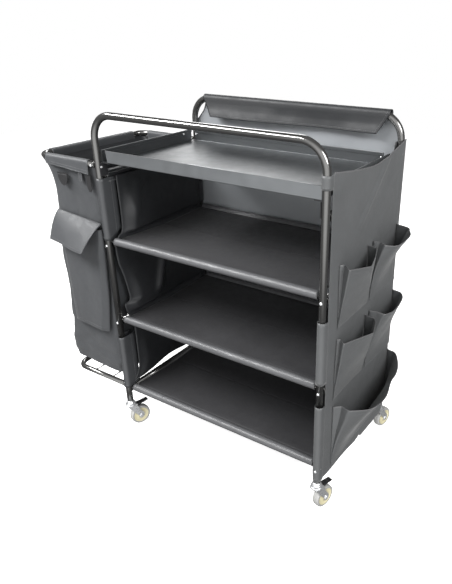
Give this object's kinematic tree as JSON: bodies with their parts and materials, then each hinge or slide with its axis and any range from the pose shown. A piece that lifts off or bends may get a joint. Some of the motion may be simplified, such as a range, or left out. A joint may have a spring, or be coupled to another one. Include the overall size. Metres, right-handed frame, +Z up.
{
  "type": "housekeeping cart",
  "caption": "Housekeeping cart: tubular frame on swivel casters with a tray, fabric shelves, pocketed side panel and a laundry bag hung on an end rim above a rack.",
  "frame": {"origin": "on the floor, below the middle of the whole cart", "axes": "+Z up, +X along the cart from the laundry bag to the pocketed end, -Y towards the open front"},
  "size_m": [1.183, 0.6148, 1.1686],
  "materials": {
    "tube_paint": "gloss",
    "tray_paint": "satin",
    "bracket_paint": "satin",
    "panel_fabric": "coated oxford weave, slight sheen",
    "deck_fabric": "matt",
    "bag_fabric": "matt oxford weave",
    "zinc_plate": "bright zinc",
    "wheel_tread": "satin",
    "wheel_hub": "satin",
    "pedal_plastic": "satin"
  },
  "bodies": {
    "root": {"back_panel": "panel_fabric", "back_panel_flap": "panel_fabric", "bag_pocket": "bag_fabric", "bag_rack": "tube_paint", "bag_rim": "tube_paint", "caster_fl_stem": "zinc_plate", "caster_fr_stem": "zinc_plate", "caster_rl_stem": "zinc_plate", "caster_rr_stem": "zinc_plate", "front_leg_left": "tube_paint", "front_leg_right": "tube_paint", "front_upper_frame": "tube_paint", "laundry_bag": "bag_fabric", "left_panel": "panel_fabric", "pocket_lower_wide": "panel_fabric", "pocket_middle_front": "panel_fabric", "pocket_middle_rear": "panel_fabric", "pocket_upper_front": "panel_fabric", "pocket_upper_rear": "panel_fabric", "rear_leg_left": "tube_paint", "rear_leg_right": "tube_paint", "rear_upper_frame": "tube_paint", "right_panel": "panel_fabric", "shelf_bottom_deck": "deck_fabric", "shelf_bottom_front_rail": "tube_paint", "shelf_bottom_left_rail": "tube_paint", "shelf_bottom_rear_rail": "tube_paint", "shelf_bottom_right_rail": "tube_paint", "shelf_middle_deck": "deck_fabric", "shelf_middle_front_rail": "tube_paint", "shelf_middle_left_rail": "tube_paint", "shelf_middle_rear_rail": "tube_paint", "shelf_middle_right_rail": "tube_paint", "shelf_top_deck": "deck_fabric", "shelf_top_front_rail": "tube_paint", "shelf_top_left_rail": "tube_paint", "shelf_top_rear_rail": "tube_paint", "shelf_top_right_rail": "tube_paint", "tray": "tray_paint", "tray_bracket_front_left": "bracket_paint", "tray_bracket_front_right": "bracket_paint", "tray_bracket_rear_left": "bracket_paint", "tray_bracket_rear_right": "bracket_paint", "upper_side_rail_left": "tube_paint", "upper_side_rail_right": "tube_paint"},
    "front_left_swivel": {"caster_fl_fork": "zinc_plate"},
    "front_left_wheel": {"caster_fl_hub": "wheel_hub", "caster_fl_tyre": "wheel_tread"},
    "front_left_pedal": {"caster_fl_brake_pedal": "pedal_plastic"},
    "front_right_swivel": {"caster_fr_fork": "zinc_plate"},
    "front_right_wheel": {"caster_fr_hub": "wheel_hub", "caster_fr_tyre": "wheel_tread"},
    "front_right_pedal": {"caster_fr_brake_pedal": "pedal_plastic"},
    "rear_left_swivel": {"caster_rl_fork": "zinc_plate"},
    "rear_left_wheel": {"caster_rl_hub": "wheel_hub", "caster_rl_tyre": "wheel_tread"},
    "rear_right_swivel": {"caster_rr_fork": "zinc_plate"},
    "rear_right_wheel": {"caster_rr_hub": "wheel_hub", "caster_rr_tyre": "wheel_tread"},
    "bag_flap": {"bag_pocket_flap": "bag_fabric"}
  },
  "joints": [
    {"name": "front_left_swivel", "type": "hinge", "parent": "root", "child": "front_left_swivel", "pos_m": [-0.29805, -0.23765, 0.099], "axis": [0, 0, 1], "continuous": true},
    {"name": "front_left_roll", "type": "hinge", "parent": "front_left_swivel", "child": "front_left_wheel", "pos_m": [-0.28745, -0.20852, 0.0375], "axis": [-0.9397, 0.342, 0], "continuous": true},
    {"name": "front_left_brake", "type": "hinge", "parent": "front_left_swivel", "child": "front_left_pedal", "pos_m": [-0.28984, -0.2151, 0.086], "axis": [-0.9397, 0.342, 0], "range_deg": [0, 14]},
    {"name": "front_right_swivel", "type": "hinge", "parent": "root", "child": "front_right_swivel", "pos_m": [0.50195, -0.23765, 0.099], "axis": [0, 0, 1], "continuous": true},
    {"name": "front_right_roll", "type": "hinge", "parent": "front_right_swivel", "child": "front_right_wheel", "pos_m": [0.50892, -0.20744, 0.0375], "axis": [-0.9744, 0.225, 0], "continuous": true},
    {"name": "front_right_brake", "type": "hinge", "parent": "front_right_swivel", "child": "front_right_pedal", "pos_m": [0.50735, -0.21426, 0.086], "axis": [-0.9744, 0.225, 0], "range_deg": [-14, 0]},
    {"name": "rear_left_swivel", "type": "hinge", "parent": "root", "child": "rear_left_swivel", "pos_m": [-0.29805, 0.23835, 0.099], "axis": [0, 0, 1], "continuous": true},
    {"name": "rear_left_roll", "type": "hinge", "parent": "rear_left_swivel", "child": "rear_left_wheel", "pos_m": [-0.29481, 0.26918, 0.0375], "axis": [-0.9945, 0.1045, 0], "continuous": true},
    {"name": "rear_right_swivel", "type": "hinge", "parent": "root", "child": "rear_right_swivel", "pos_m": [0.50195, 0.23835, 0.099], "axis": [0, 0, 1], "continuous": true},
    {"name": "rear_right_roll", "type": "hinge", "parent": "rear_right_swivel", "child": "rear_right_wheel", "pos_m": [0.50892, 0.26856, 0.0375], "axis": [-0.9744, 0.225, 0], "continuous": true},
    {"name": "bag_flap_lift", "type": "hinge", "parent": "root", "child": "bag_flap", "pos_m": [-0.42105, -0.24255, 0.823], "axis": [-1, 0, 0], "range_deg": [-10, 120]}
  ]
}
